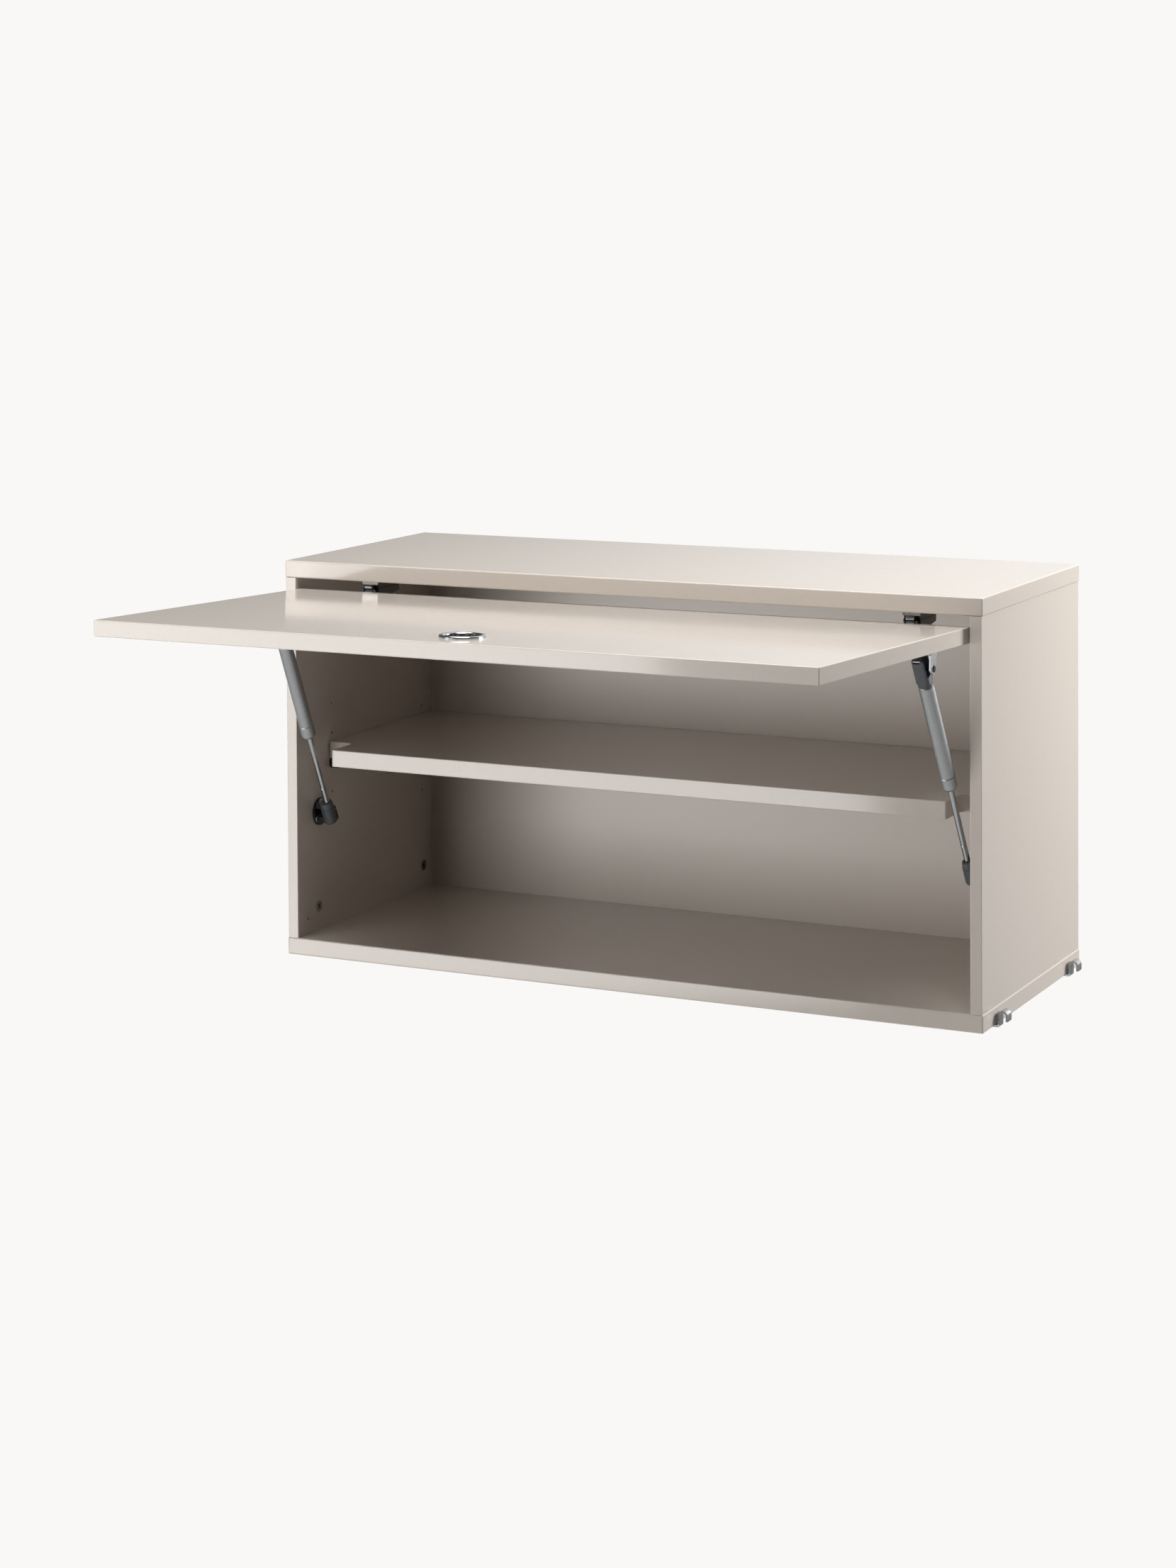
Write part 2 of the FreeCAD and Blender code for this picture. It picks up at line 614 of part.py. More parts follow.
# ---- finger ring ----
rim = ring_flange_r
ring = turned([(ring_bore_r, -ring_proud), (rim, -ring_proud), (rim, 0), (ring_tube_r, 0),
               (ring_tube_r, door_t + ring_back_t), (ring_bore_r, door_t + ring_back_t)],
              V(0, 0, ring_z), BACK)
ring = rounded(ring, 1.7, lambda e: abs(e.Vertexes[0].Point.y + ring_proud) < 0.01 and e.Length > 60)
back_ring = turned([(ring_tube_r + 0.05, door_t), (rim, door_t), (rim, door_t + ring_back_t - 0.5),
                    (rim - 0.5, door_t + ring_back_t), (ring_tube_r + 0.05, door_t + ring_back_t)],
                   V(0, 0, ring_z), BACK)

save("door_panel", swung(door))
save("finger_ring", swung(ring))
save("finger_ring_back", swung(back_ring))
save_pair("hinge_cup", swung(cup))
save_pair("cup_screws", [swung(s) for s in cup_screws])
save_pair("strut_bracket", swung(bracket))
save_pair("bracket_screws", [swung(s) for s in bracket_screws])
save_pair("strut_ball", swung(ball_stud))

# ---- gas struts, drawn along Z from the upper ball and laid between the balls ----
ball_low = V(side_in - strut_low_in, strut_low_y, top_z - strut_low_drop)
span = ball_low - ball_top_open
length = span.Length
e_z = V(span).normalize()
e_x = (RIGHT - e_z * e_z.dot(RIGHT)).normalize()
e_y = e_z.cross(e_x)


def laid(shape):
    s = shape.copy()
    turn_to = FreeCAD.Rotation(e_x, e_y, e_z, "ZXY")
    s.Placement = FreeCAD.Placement(ball_top_open, turn_to).multiply(s.Placement)
    return s


zero = V(0, 0, 0)
tube_end = cap_len + tube_len
groove_z = tube_end - 15.4
wall_top = cap_len + 4.4
tube = turned([(0, cap_len), (tube_r - 1.0, cap_len), (tube_r, cap_len + 1.0), (tube_r, groove_z - 0.7),
               (tube_r - 0.5, groove_z), (tube_r, groove_z + 0.7), (tube_r, tube_end - 3.0),
               (tube_r - 0.9, tube_end - 0.9), (tube_r - 3.0, tube_end), (rod_r + 0.6, tube_end),
               (rod_r + 0.6, tube_end - 1.3), (tube_bore, tube_end - 1.3), (tube_bore, wall_top), (0, wall_top)],
              zero, UP)
tube = tube.fuse(cyl(V(0, 0, cap_len - 7.0), UP, 4.0, 8.0)).removeSplitter()
gland = cyl(V(0, 0, tube_end - 1.3 - gland_len), UP, tube_bore - 0.02, gland_len)
gland = gland.cut(cyl(V(0, 0, 0), UP, rod_r + run_gap, length))

cap = box(-cap_w / 2, cap_w / 2, -cap_d / 2, cap_d / 2, -cap_over, cap_len)
cap = rounded(cap, 3.5, lambda e: is_along(e, 2))
cap = rounded(cap, 2.0, lambda e: abs(e.Vertexes[0].Point.z + cap_over) < 0.01 and
              abs(e.Vertexes[-1].Point.z + cap_over) < 0.01)
cap = cap.common(turned([(0, -cap_over), (cap_d, -cap_over), (cap_d, 5.5), (tube_r + 0.3, cap_len - 4.4),
                         (tube_r - 0.2, cap_len - 0.6), (tube_r - 0.8, cap_len), (0, cap_len)], zero, UP))
recess = box(cap_w / 2 - 4.2, cap_w, -5.0, 6.0, -20, 7.4)
cap = cap.cut(rounded(recess, 1.5, lambda e: is_along(e, 0)))
cap = cap.cut(Part.makeSphere(ball_r + ball_gap, zero))
cap = cap.cut(cyl(V(0, 0, cap_len - 7.0), UP, 4.0, 20))
eye_slot = box(-4.6, 2.6, 4.4, cap_d, -cap_over - 5, 2.6 - cap_over)
cap = cap.cut(rounded(eye_slot, 1.0, lambda e: is_along(e, 1) or is_along(e, 0)))
clip = cyl(V(-4.6, 5.9, 0.85 - cap_over), RIGHT, 0.75, 7.2)

piston_z = tube_end - 1.3 - gland_len - 9.0
rod_end = length - socket_len
rod_line = rod_end - 20.0
stem = turned([(0, piston_z), (rod_r, piston_z), (rod_r, rod_line - 0.4), (rod_r - 0.25, rod_line),
               (rod_r, rod_line + 0.4), (rod_r, rod_end + 8.0), (0, rod_end + 8.0)], zero, UP)
piston = cyl(V(0, 0, piston_z), UP, tube_bore - 0.08, 6.0)
piston = piston.cut(cyl(V(0, 0, piston_z - 1), UP, rod_r, 10))

s0 = rod_end
socket_end = length + socket_over
seam = s0 + 5.8
mid = V(socket_off, 0, 0)
socket = turned([(0, s0 - 0.6), (socket_r - 1.9, s0 - 0.6), (socket_r - 1.1, s0 - 0.1), (socket_r - 0.7, s0 + 0.9),
                 (socket_r - 0.2, seam - 0.5), (socket_r - 0.6, seam), (socket_r, seam + 0.5),
                 (socket_r, socket_end - 2.2), (socket_r - 0.6, socket_end - 0.7),
                 (socket_r - 2.0, socket_end), (0, socket_end)], mid, UP)
lug_x = socket_off - socket_r + 0.2
lug = box(lug_x, 0, lug_x, 0, seam + 1.4, socket_end - 1.4)
socket = socket.fuse(rounded(lug, 1.5, lambda e: e.Vertexes[0].Point.y < -1 and e.Vertexes[-1].Point.y < -1))
socket = socket.removeSplitter()
socket = socket.cut(box(lug_x - 1, lug_x + 1.4, lug_x + 1.6, -1.6, length - 2.5, length + 6.0))
socket = socket.cut(Part.makeSphere(ball_r + ball_gap, V(0, 0, length)))
socket = socket.cut(cyl(V(0, 0, length), RIGHT, ball_r - 0.6, 12))
socket = socket.cut(cyl(V(0, 0, s0 - 1), UP, rod_r, 9.0))

boss_x = side_in - plate_t - 1.3
stud_len = boss_x - 0.4 - ball_low.x
stud = ball_on_neck(ball_low, RIGHT, stud_len, stud_len - 1.2, 4.0, 1.0)

save_pair("strut_tube", laid(tube))
save_pair("strut_gland", laid(gland))
save_pair("strut_cap", laid(cap))
save_pair("strut_clip", laid(clip))
save_pair("strut_rod", laid(stem))
save_pair("strut_piston", laid(piston))
save_pair("strut_socket", laid(socket))
save_pair("strut_stud", stud)

# ---- side plates of the struts ----
plate_c = V(side_in - plate_t, strut_low_y + 3.2, ball_low.z + 1.3)
plate = cyl(plate_c, RIGHT, plate_r, plate_t)
plate = rounded(plate, 0.8, lambda e: abs(e.Vertexes[0].Point.x - side_in + plate_t) < 0.01)
boss = V(boss_x, ball_low.y, ball_low.z)
plate = plate.fuse(cyl(boss, RIGHT, 3.9, side_in - boss_x)).removeSplitter()
plate_screws = []
for spot in (97, 217, 337):
    y = plate_c.y + (plate_r - 3.8) * math.cos(math.radians(spot))
    z = plate_c.z + (plate_r - 3.8) * math.sin(math.radians(spot))
    p = V(side_in - plate_t, y, z)
    plate = plate.cut(cyl(p - RIGHT, RIGHT, screw_r + 0.1, 6))
    side = side.cut(cyl(p, RIGHT, screw_r + screw_fit, 12.0))
    plate_screws.append(placed(pan_screw(11.0, 1.3), p, RIGHT))
save_pair("strut_plate", plate)
save_pair("plate_screws", plate_screws)
save_pair("side", side)

# ---- figures for the joints, in the row frame ----
closed_dir = (ball_low - ball_c).normalize()
closed_in_door = rot_x(Part.Vertex(closed_dir), 0, 0, -open_deg).Vertexes[0].Point
swap = (closed_in_door - e_z).normalize()
spin = (swap * RIGHT.dot(swap) - RIGHT).normalize()
lean = spin.dot(e_z) * spin.dot(closed_in_door)
spin_deg = math.degrees(math.atan2(spin.dot(e_z.cross(closed_in_door)), e_z.dot(closed_in_door) - lean))
print("door axis", round(axis_y - origin.y, 4), round(axis_z - origin.z, 4))
print("eye", round(eye_y - origin.y, 4), round(eye_z - origin.z, 4))
print("upper ball", [round(c, 4) for c in (ball_top_open - origin)])
print("lower ball", [round(c, 4) for c in (ball_low - origin)])
print("strut along", [round(c, 6) for c in e_z], "length", round(length, 4))
print("strut turns about", [round(c, 7) for c in spin], "by", round(spin_deg, 5))
print("closed length", round((ball_low - ball_c).Length, 4))
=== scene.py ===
"""Finishes, light and camera for the lift-up wall cabinet."""

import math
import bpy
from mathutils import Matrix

bl_info = {
    "name": "Lift-up wall cabinet",
    "version": (1, 0, 0),
    "blender": (4, 5, 0),
    "location": "3D View > Sidebar > Cabinet",
    "description": "Gives a lift-up wall cabinet its finishes and its studio",
    "category": "Object",
}

import bpy
from mathutils import Matrix, Vector

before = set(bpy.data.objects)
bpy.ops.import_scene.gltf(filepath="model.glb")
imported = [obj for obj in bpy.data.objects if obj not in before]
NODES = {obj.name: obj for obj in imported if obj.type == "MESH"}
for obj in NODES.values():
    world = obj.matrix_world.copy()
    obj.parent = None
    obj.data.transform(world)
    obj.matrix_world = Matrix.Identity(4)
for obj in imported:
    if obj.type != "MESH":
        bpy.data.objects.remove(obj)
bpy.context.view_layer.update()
MM = 0.001


def linear(code):
    """An sRGB hex code as linear RGBA."""
    out = []
    for i in (0, 2, 4):
        c = int(code[i:i + 2], 16) / 255
        out.append(c / 12.92 if c <= 0.04045 else ((c + 0.055) / 1.055) ** 2.4)
    return (*out, 1.0)


def colour_prop(name, code, words):
    return bpy.props.FloatVectorProperty(name=name, description=words, subtype="COLOR", size=4,
                                         min=0.0, max=1.0, default=linear(code))


def length_prop(name, mm, words):
    return bpy.props.FloatProperty(name=name, description=words, unit="LENGTH", min=0.0,
                                   default=mm * MM, precision=4)


class CabinetColours(bpy.types.PropertyGroup):
    """Colours of the finishes."""
    lacquer: colour_prop("Lacquer", "C9C0B7", "Sprayed lacquer on the boards")
    nylon: colour_prop("Nylon", "4B4E52", "Moulded ends of the gas struts")
    black: colour_prop("Black steel", "141516", "Hinge arms and side plates")
    tube: colour_prop("Strut tube", "A4A6A8", "Silver paint on the gas cylinders")
    backdrop: colour_prop("Backdrop", "F9F8F6", "Studio floor and wall as the camera sees them")


class CabinetSizes(bpy.types.PropertyGroup):
    """Sizes of the surface texture."""
    peel: length_prop("Orange peel", 6.0, "Spacing of the waves in the sprayed lacquer")
    grain: length_prop("Moulding grain", 0.5, "Spacing of the pebbles on the moulded parts")


# Tints of the metals and of the black moulded pins
NICKEL = linear("A3A19C")
CHROME = linear("BEC0C2")
ROD_CHROME = linear("A2A5A8")
ZINC = linear("AEB1B4")
# Dark grey of the ball studs: painted shade for the shadowed neck between cap and bracket
STUD_GREY_AS_SHADE = linear("4A4B4D")
SCREW_STEEL = linear("A9AAAB")
PIN_NYLON = linear("17181A")

# Nearly all of a noise texture's values lie between these two.
NOISE_LOW, NOISE_HIGH = 0.3, 0.7


def add(tree, kind, links=None, **settings):
    """One node with its settings, and links as {input: (node, output)}."""
    node = tree.nodes.new(kind)
    for key, value in settings.items():
        if key.startswith("in_"):
            node.inputs[key[3:].replace("_", " ")].default_value = value
        else:
            setattr(node, key, value)
    for key, (source, output) in (links or {}).items():
        tree.links.new(source.outputs[output], node.inputs[key])
    return node


def new_finish(name, colour, roughness, metallic=0.0):
    """A named material with its shader set from plain numbers."""
    mat = bpy.data.materials.new(name)
    mat.use_nodes = True
    tree = mat.node_tree
    shader = tree.nodes["Principled BSDF"]
    shader.inputs["Base Color"].default_value = colour
    shader.inputs["Roughness"].default_value = roughness
    shader.inputs["Metallic"].default_value = metallic
    return mat, tree, shader


def waves(tree, shader, spacing, depth, detail=2.0, strength=1.0):
    """Bump of a given spacing and depth in metres, drawn in the object's own space."""
    where = add(tree, "ShaderNodeTexCoord")
    noise = add(tree, "ShaderNodeTexNoise", {"Vector": (where, "Object")},
                in_Scale=1 / spacing, in_Detail=detail)
    bump = add(tree, "ShaderNodeBump", {"Height": (noise, 0)}, in_Distance=depth, in_Strength=strength)
    tree.links.new(bump.outputs[0], shader.inputs["Normal"])
    return noise


def mottle(tree, shader, source, colour, spread):
    """Colour that drifts by a small share with a noise."""
    dark = [c * (1 - spread) for c in colour[:3]] + [1.0]
    pale = [min(1.0, c * (1 + spread)) for c in colour[:3]] + [1.0]
    ramp = add(tree, "ShaderNodeValToRGB", {"Fac": (source, 0)})
    ramp.color_ramp.elements[0].position = NOISE_LOW
    ramp.color_ramp.elements[0].color = dark
    ramp.color_ramp.elements[1].position = NOISE_HIGH
    ramp.color_ramp.elements[1].color = pale
    tree.links.new(ramp.outputs[0], shader.inputs["Base Color"])


def uneven(tree, shader, source, low, high):
    """Roughness that drifts between two values with a noise."""
    span = add(tree, "ShaderNodeMapRange", {"Value": (source, 0)})
    span.inputs["From Min"].default_value = NOISE_LOW
    span.inputs["From Max"].default_value = NOISE_HIGH
    span.inputs["To Min"].default_value = low
    span.inputs["To Max"].default_value = high
    tree.links.new(span.outputs[0], shader.inputs["Roughness"])


def sprayed_lacquer(name, colour, peel):
    # Polyurethane lacquer sprayed on MDF: even colour, clear but slightly wavy reflections.
    mat, tree, shader = new_finish(name, colour, 0.1)
    noise = waves(tree, shader, peel, 0.01 * MM, detail=1.0, strength=0.12)
    mottle(tree, shader, noise, colour, 0.008)
    uneven(tree, shader, noise, 0.09, 0.11)
    return mat


def satin_lacquer(name, colour):
    # The same tint on thin board in a satin grade: no clear reflection, fine pebble.
    mat, tree, shader = new_finish(name, colour, 0.34)
    noise = waves(tree, shader, 1.5 * MM, 0.01 * MM, strength=0.2)
    mottle(tree, shader, noise, colour, 0.008)
    uneven(tree, shader, noise, 0.31, 0.37)
    return mat


def bright_nickel(name):
    # Steel with bright nickel plate: slightly warm, cloudy mirror.
    mat, tree, shader = new_finish(name, NICKEL, 0.24, metallic=1.0)
    noise = waves(tree, shader, 0.9 * MM, 0.004 * MM)
    uneven(tree, shader, noise, 0.2, 0.3)
    return mat


def polished_chrome(name):
    # Turned and chromed: cool mirror, a little hazed by handling.
    mat, tree, shader = new_finish(name, CHROME, 0.13, metallic=1.0)
    noise = waves(tree, shader, 4.0 * MM, 0.002 * MM)
    uneven(tree, shader, noise, 0.11, 0.16)
    return mat


def zinc_plate(name):
    # Passivated zinc on bent strip: dull mirror with a faint bluish cloud.
    mat, tree, shader = new_finish(name, ZINC, 0.3, metallic=1.0)
    noise = waves(tree, shader, 1.6 * MM, 0.006 * MM, detail=4.0)
    mottle(tree, shader, noise, ZINC, 0.06)
    uneven(tree, shader, noise, 0.24, 0.38)
    return mat


def black_steel(name, colour):
    # Stamped steel with dipped black coat: thin glossy film, slightly pebbled.
    mat, tree, shader = new_finish(name, colour, 0.2)
    noise = waves(tree, shader, 0.7 * MM, 0.003 * MM, detail=3.0)
    uneven(tree, shader, noise, 0.16, 0.26)
    return mat


def silver_paint(name, colour):
    # Cylinder sprayed with aluminium flake: soft metallic sheen with a fine speckle.
    # The flake is drawn at 0.9 mm, coarser than the real 0.1 mm, so that it shows.
    mat, tree, shader = new_finish(name, colour, 0.42, metallic=0.9)
    noise = waves(tree, shader, 0.9 * MM, 0.02 * MM, detail=4.0)
    mottle(tree, shader, noise, colour, 0.16)
    uneven(tree, shader, noise, 0.36, 0.5)
    return mat


def ground_rod(name):
    # Hard-chromed, centreless ground rod: bright mirror with small changes of gloss.
    mat, tree, shader = new_finish(name, ROD_CHROME, 0.13, metallic=1.0)
    noise = waves(tree, shader, 1.2 * MM, 0.002 * MM, detail=3.0)
    uneven(tree, shader, noise, 0.1, 0.17)
    return mat


def moulded_nylon(name, colour, grain):
    # Glass-filled nylon from a spark-eroded mould: even grain, low sheen.
    # The grain is drawn coarser than the real one, which is about 0.1 mm.
    mat, tree, shader = new_finish(name, colour, 0.48)
    noise = waves(tree, shader, grain, 0.02 * MM, detail=3.0, strength=0.6)
    mottle(tree, shader, noise, colour, 0.06)
    uneven(tree, shader, noise, 0.42, 0.55)
    return mat


def stud_steel_with_painted_shade(name):
    # Hardened and oiled ball studs with a wet gloss; their dark grey is painted shade, standing in for
    # the shadow round the stud's neck between cap and bracket.
    mat, tree, shader = new_finish(name, STUD_GREY_AS_SHADE, 0.2, metallic=1.0)
    noise = waves(tree, shader, 0.8 * MM, 0.003 * MM, detail=3.0)
    mottle(tree, shader, noise, STUD_GREY_AS_SHADE, 0.08)
    uneven(tree, shader, noise, 0.16, 0.27)
    return mat


def plain_steel(name):
    # Screws, rivets and clips with a thin zinc-flake coat: grey metal, mottled and half dull.
    mat, tree, shader = new_finish(name, SCREW_STEEL, 0.32, metallic=1.0)
    noise = waves(tree, shader, 0.6 * MM, 0.008 * MM, detail=3.0)
    mottle(tree, shader, noise, SCREW_STEEL, 0.1)
    uneven(tree, shader, noise, 0.26, 0.42)
    return mat


def finish(mat, *names):
    """Gives CAD nodes a material in place of their own."""
    for name in names:
        obj = NODES[name]
        obj.data.materials.clear()
        obj.data.materials.append(mat)


def pair(name):
    """Names of the left and the right node of one kind."""
    return [name + "_left", name + "_right"]


class CABINET_OT_boards(bpy.types.Operator):
    """Lacquer on the carcass, the shelf and the door"""
    bl_idname = "cabinet.boards"
    bl_label = "Boards"

    def execute(self, context):
        scene = context.scene
        tint = scene.cabinet_colours.lacquer
        lacquer = sprayed_lacquer("sprayed lacquer", tint, scene.cabinet_sizes.peel)
        finish(lacquer, "top_panel", "bottom_panel", "side_left", "side_right", "shelf", "door_panel")
        finish(satin_lacquer("satin lacquer on back board", tint), "back_panel")
        return {"FINISHED"}


class CABINET_OT_fittings(bpy.types.Operator):
    """Finishes of the cam locks, shelf pins, screws and hooks"""
    bl_idname = "cabinet.fittings"
    bl_label = "Fittings and hooks"

    def execute(self, context):
        grain = context.scene.cabinet_sizes.grain
        finish(bright_nickel("bright nickel plate"), "cam_locks")
        finish(moulded_nylon("moulded black nylon", PIN_NYLON, grain), "shelf_pins")
        finish(plain_steel("plain steel screws"), "cam_bolts", "hook_screws", *pair("hinge_screws"),
               *pair("cup_screws"), *pair("bracket_screws"), *pair("plate_screws"),
               *pair("hinge_rivets"))
        finish(zinc_plate("zinc plated strip"), *pair("hook_front"), *pair("hook_rear"))
        return {"FINISHED"}


class CABINET_OT_hinges(bpy.types.Operator):
    """Finishes of the concealed hinges"""
    bl_idname = "cabinet.hinges"
    bl_label = "Hinges"

    def execute(self, context):
        colours = context.scene.cabinet_colours
        nickel = bright_nickel("bright nickel hinge")
        finish(nickel, *pair("hinge_plate"), *pair("hinge_cup"), *pair("hinge_link"))
        finish(polished_chrome("chromed roll"), *pair("hinge_roll"))
        finish(black_steel("black hinge steel", colours.black), *pair("hinge_arm"))
        return {"FINISHED"}


class CABINET_OT_struts(bpy.types.Operator):
    """Finishes of the gas struts, their brackets and plates"""
    bl_idname = "cabinet.struts"
    bl_label = "Gas struts"

    def execute(self, context):
        colours = context.scene.cabinet_colours
        grain = context.scene.cabinet_sizes.grain
        finish(silver_paint("silver strut paint", colours.tube), *pair("strut_tube"))
        finish(ground_rod("ground chromed rod"), *pair("strut_rod"), *pair("strut_piston"))
        finish(moulded_nylon("moulded grey nylon", colours.nylon, grain),
               *pair("strut_cap"), *pair("strut_socket"), *pair("strut_gland"))
        finish(zinc_plate("zinc plated bracket"), *pair("strut_bracket"))
        # The ball studs' dark grey is painted shade for the shadowed stud neck
        finish(stud_steel_with_painted_shade("oiled ball stud steel"), *pair("strut_ball"), *pair("strut_stud"))
        finish(black_steel("black plate steel", colours.black), *pair("strut_plate"))
        finish(plain_steel("spring steel clip"), *pair("strut_clip"))
        return {"FINISHED"}


class CABINET_OT_ring(bpy.types.Operator):
    """Chromed finger ring in the door"""
    bl_idname = "cabinet.ring"
    bl_label = "Finger ring"

    def execute(self, context):
        finish(polished_chrome("polished chrome"), "finger_ring", "finger_ring_back")
        return {"FINISHED"}


# Camera: measured from the board edges of the photograph, in row metres and degrees.
PHOTO_SIZE = (1659, 2212)
FOCAL_PX = 4542.29
CENTRE_PX = (897.94, 401.49)
CAMERA_AT = (1.41998, -3.05869, 0.80795)
YAW, PITCH, ROLL = 25.646, 1.796, 0.273
SENSOR_MM = 36.0
SEEN_TO = 100.0

# Floor: its height and half its width in metres. Near the cabinet the paper shows some of
# the cabinet's shade, and from GLOW_FROM to GLOW_FULL metres off it turns to even backdrop.
FLOOR_Z = -1.4
FLOOR_HALF = 40.0
GLOW_FROM, GLOW_FULL = 1.6, 2.3
GLOW_NEAR_CABINET = 0.75
FLOOR_IN_MIRRORS = 0.3

# World as mirrors see it: lit paper round one compass direction, in degrees to the right of
# straight back, fading to the dim studio. The last number is the light that it casts.
PAPER_AT = 15
PAPER_FULL, PAPER_END = 30, 50
STUDIO_LEVEL = 0.14
CAST_LEVEL = 0.02

# Softboxes: name, place, aim, width and height in metres, power in watts.
LAMPS = (
    ("low key lamp", (-0.9, -1.75, 0.02), (0.0, 0.0, 0.2), (1.0, 1.0), 18.0),
    ("far key lamp", (-2.9, -2.6, 0.3), (0.0, 0.0, 0.2), (1.2, 1.2), 9.0),
    ("overhead lamp", (-0.3, -0.4, 2.2), (-0.2, -0.2, 0.3), (1.2, 1.2), 36.0),
    ("front overhead lamp", (0.45, -0.9, 2.1), (0.1, -0.2, 0.3), (1.2, 1.2), 25.0),
    ("rear side lamp", (1.35, 0.72, 0.66), (0.4, 0.0, 0.25), (0.6, 0.6), 25.0),
    ("back fill lamp", (-1.5, 2.0, -0.35), (0.0, 0.1, 0.1), (2.2, 1.1), 34.0))


def camera_axes():
    """The camera's right, up and backward directions."""
    yaw, pitch, roll = (math.radians(a) for a in (YAW, PITCH, ROLL))
    ahead = Vector((-math.sin(yaw) * math.cos(pitch), math.cos(yaw) * math.cos(pitch),
                    -math.sin(pitch)))
    side = Vector((math.cos(yaw), math.sin(yaw), 0.0))
    down = ahead.cross(side)
    right = math.cos(roll) * side + math.sin(roll) * down
    below = math.cos(roll) * down - math.sin(roll) * side
    return right, -below, -ahead


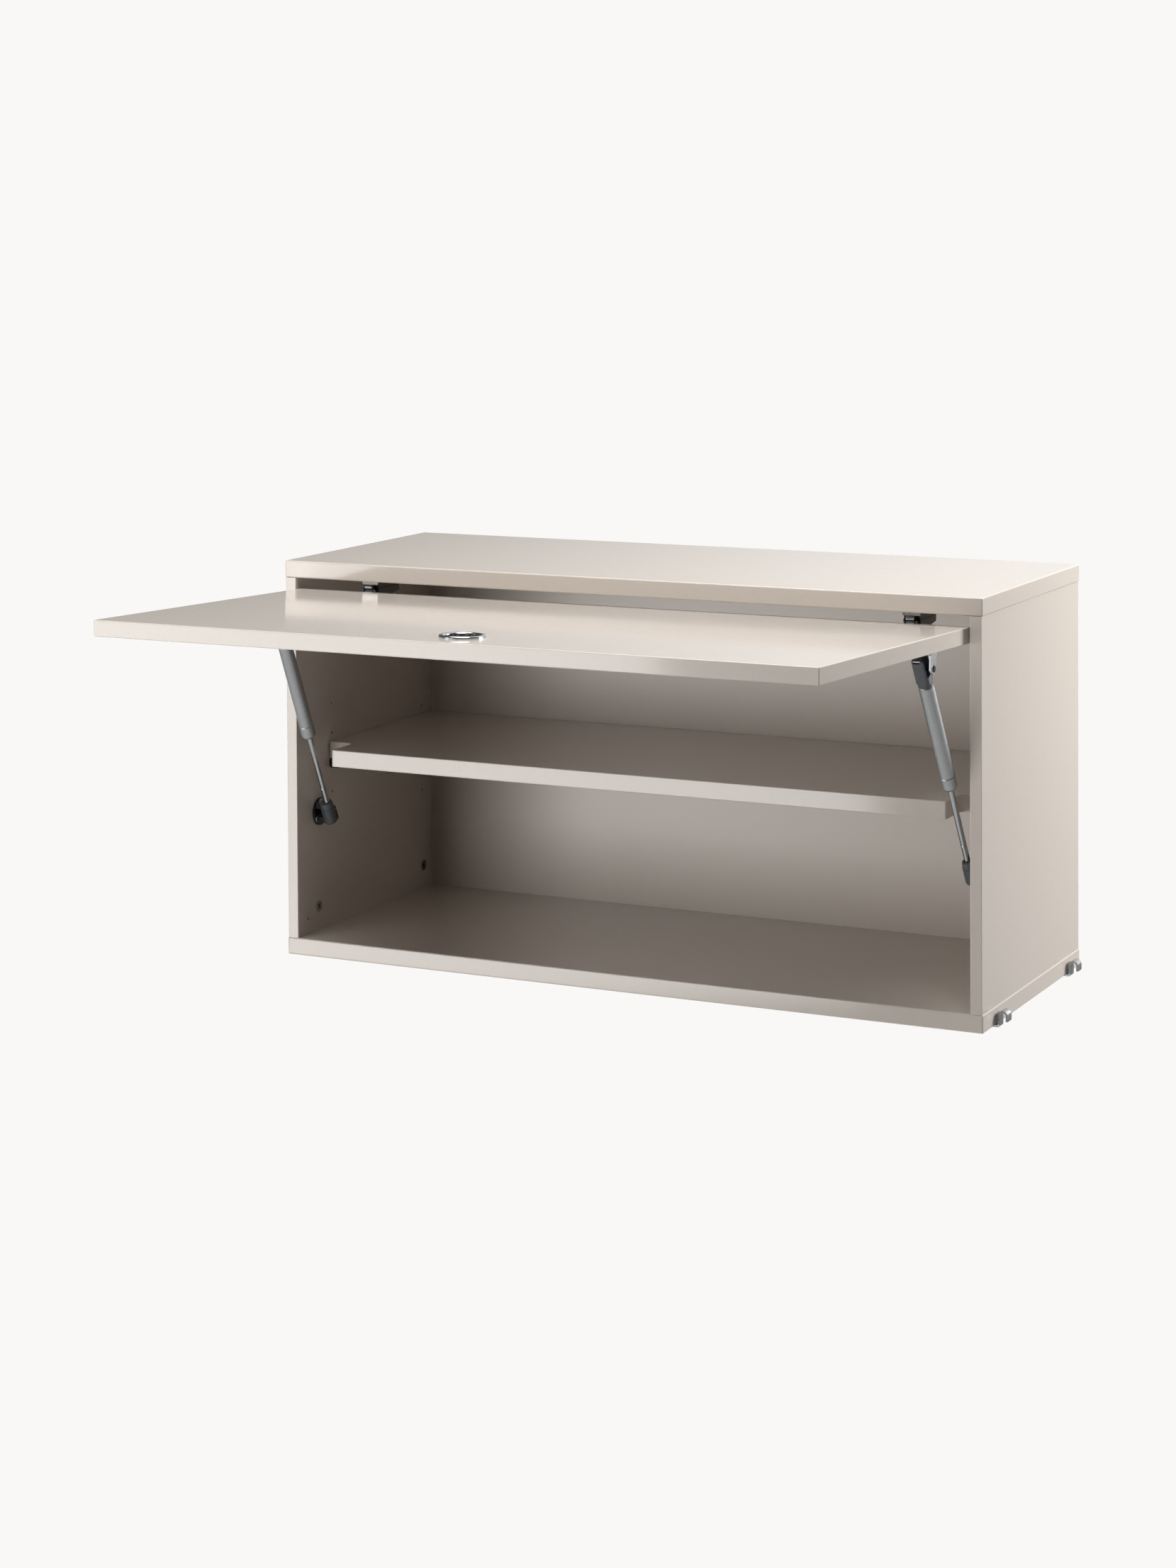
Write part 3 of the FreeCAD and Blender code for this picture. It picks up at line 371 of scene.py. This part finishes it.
class CABINET_OT_stage(bpy.types.Operator):
    """Pale floor, soft lamps, world and camera"""
    bl_idname = "cabinet.stage"
    bl_label = "Studio"

    def execute(self, context):
        scene = context.scene
        self.make_camera(scene)
        self.make_floor(scene)
        self.make_world(scene)
        self.make_lamps(scene)
        scene.view_settings.view_transform = "Standard"
        return {"FINISHED"}

    def make_camera(self, scene):
        wide, high = PHOTO_SIZE
        data = bpy.data.cameras.new("camera")
        data.sensor_fit = "VERTICAL"
        data.sensor_height = SENSOR_MM
        data.lens = FOCAL_PX / high * SENSOR_MM
        data.shift_x = (wide / 2 - CENTRE_PX[0]) / high
        data.shift_y = (CENTRE_PX[1] - high / 2) / high
        data.clip_end = SEEN_TO
        camera = bpy.data.objects.new("camera", data)
        scene.collection.objects.link(camera)
        turn = Matrix(camera_axes()).transposed()
        camera.matrix_world = Matrix.Translation(CAMERA_AT) @ turn.to_4x4()
        scene.camera = camera

    def make_floor(self, scene):
        half = FLOOR_HALF
        mesh = bpy.data.meshes.new("floor")
        mesh.from_pydata([(-half, -half, FLOOR_Z), (half, -half, FLOOR_Z), (half, half, FLOOR_Z),
                          (-half, half, FLOOR_Z)], [], [(0, 1, 2, 3)])
        floor = bpy.data.objects.new("floor", mesh)
        scene.collection.objects.link(floor)
        colour = scene.cabinet_colours.backdrop
        mat, tree, shader = new_finish("matt studio paper", colour, 0.9)
        shader.inputs["Specular IOR Level"].default_value = 0.0
        where = add(tree, "ShaderNodeTexCoord")
        away = add(tree, "ShaderNodeVectorMath", {0: (where, "Object")}, operation="LENGTH")
        share = add(tree, "ShaderNodeMapRange", {"Value": (away, "Value")},
                    interpolation_type="SMOOTHSTEP")
        share.inputs["From Min"].default_value = GLOW_FROM
        share.inputs["From Max"].default_value = GLOW_FULL
        share.inputs["To Min"].default_value = GLOW_NEAR_CABINET
        share.inputs["To Max"].default_value = 1.0
        seen = self.seen_direct(tree, FLOOR_IN_MIRRORS)
        part = add(tree, "ShaderNodeMath", {0: (seen, 0), 1: (share, 0)}, operation="MULTIPLY")
        glow = add(tree, "ShaderNodeEmission", in_Color=colour, in_Strength=1.0)
        mix = add(tree, "ShaderNodeMixShader", {0: (part, 0), 1: (shader, 0), 2: (glow, 0)})
        tree.links.new(mix.outputs[0], tree.nodes["Material Output"].inputs["Surface"])
        mesh.materials.append(mat)

    def seen_direct(self, tree, mirrored=1.0):
        """1 for what the camera sees straight, a share for mirrors, 0 for other light."""
        path = add(tree, "ShaderNodeLightPath")
        part = add(tree, "ShaderNodeMath", {0: (path, "Is Glossy Ray")}, operation="MULTIPLY")
        part.inputs[1].default_value = mirrored
        return add(tree, "ShaderNodeMath", {0: (path, "Is Camera Ray"), 1: (part, 0)},
                   operation="MAXIMUM")

    def make_world(self, scene):
        world = bpy.data.worlds.new("studio")
        world.use_nodes = True
        tree = world.node_tree
        tree.nodes.clear()
        backdrop = scene.cabinet_colours.backdrop
        # Mirrors see the lit paper behind and to the right, and the darker studio elsewhere.
        where = add(tree, "ShaderNodeTexCoord")
        axes = add(tree, "ShaderNodeSeparateXYZ", {0: (where, "Generated")})
        left = add(tree, "ShaderNodeMath", {0: (axes, 0)}, operation="MULTIPLY")
        left.inputs[1].default_value = -1.0
        angle = add(tree, "ShaderNodeMath", {0: (left, 0), 1: (axes, 1)}, operation="ARCTAN2")
        off = add(tree, "ShaderNodeMath", {0: (angle, 0)}, operation="ADD")
        off.inputs[1].default_value = math.radians(PAPER_AT)
        wide = add(tree, "ShaderNodeMath", {0: (off, 0)}, operation="ABSOLUTE")
        paper = add(tree, "ShaderNodeMapRange", {"Value": (wide, 0)},
                    interpolation_type="SMOOTHSTEP")
        paper.inputs["From Min"].default_value = math.radians(PAPER_FULL)
        paper.inputs["From Max"].default_value = math.radians(PAPER_END)
        paper.inputs["To Min"].default_value = 1.0
        paper.inputs["To Max"].default_value = STUDIO_LEVEL
        path = add(tree, "ShaderNodeLightPath")
        level = add(tree, "ShaderNodeMath", {0: (paper, 0), 1: (path, "Is Camera Ray")},
                    operation="MAXIMUM")
        bright = add(tree, "ShaderNodeBackground", {1: (level, 0)}, in_Color=backdrop)
        dim = add(tree, "ShaderNodeBackground", in_Color=linear("FFFFFF"), in_Strength=CAST_LEVEL)
        mix = add(tree, "ShaderNodeMixShader",
                  {0: (self.seen_direct(tree), 0), 1: (dim, 0), 2: (bright, 0)})
        out = add(tree, "ShaderNodeOutputWorld")
        tree.links.new(mix.outputs[0], out.inputs["Surface"])
        scene.world = world

    def make_lamps(self, scene):
        for name, at, aim, size, power in LAMPS:
            data = bpy.data.lights.new(name, "AREA")
            data.shape = "RECTANGLE"
            data.size, data.size_y = size
            data.energy = power
            lamp = bpy.data.objects.new(name, data)
            lamp.visible_camera = False
            scene.collection.objects.link(lamp)
            lamp.location = at
            lamp.rotation_euler = (Vector(aim) - Vector(at)).to_track_quat("-Z", "Y").to_euler()


class CABINET_PT_panel(bpy.types.Panel):
    """Lists the pieces of the cabinet"""
    bl_label = "Lift-up wall cabinet"
    bl_idname = "CABINET_PT_panel"
    bl_space_type = "VIEW_3D"
    bl_region_type = "UI"
    bl_category = "Cabinet"

    def draw(self, context):
        layout = self.layout
        for group in (context.scene.cabinet_sizes, context.scene.cabinet_colours):
            box = layout.box()
            for name in group.__annotations__:
                box.prop(group, name)
        for piece in PIECES:
            layout.operator(piece.bl_idname)


PIECES = (CABINET_OT_boards, CABINET_OT_fittings, CABINET_OT_hinges, CABINET_OT_struts, CABINET_OT_ring,
          CABINET_OT_stage)
CLASSES = (CabinetColours, CabinetSizes, *PIECES, CABINET_PT_panel)


def register():
    for cls in CLASSES:
        bpy.utils.register_class(cls)
    bpy.types.Scene.cabinet_colours = bpy.props.PointerProperty(type=CabinetColours)
    bpy.types.Scene.cabinet_sizes = bpy.props.PointerProperty(type=CabinetSizes)


def unregister():
    del bpy.types.Scene.cabinet_sizes
    del bpy.types.Scene.cabinet_colours
    for cls in reversed(CLASSES):
        bpy.utils.unregister_class(cls)


def main():
    register()
    for piece in PIECES:
        group, name = piece.bl_idname.split(".")
        getattr(getattr(bpy.ops, group), name)()


if __name__ == "__main__":
    main()
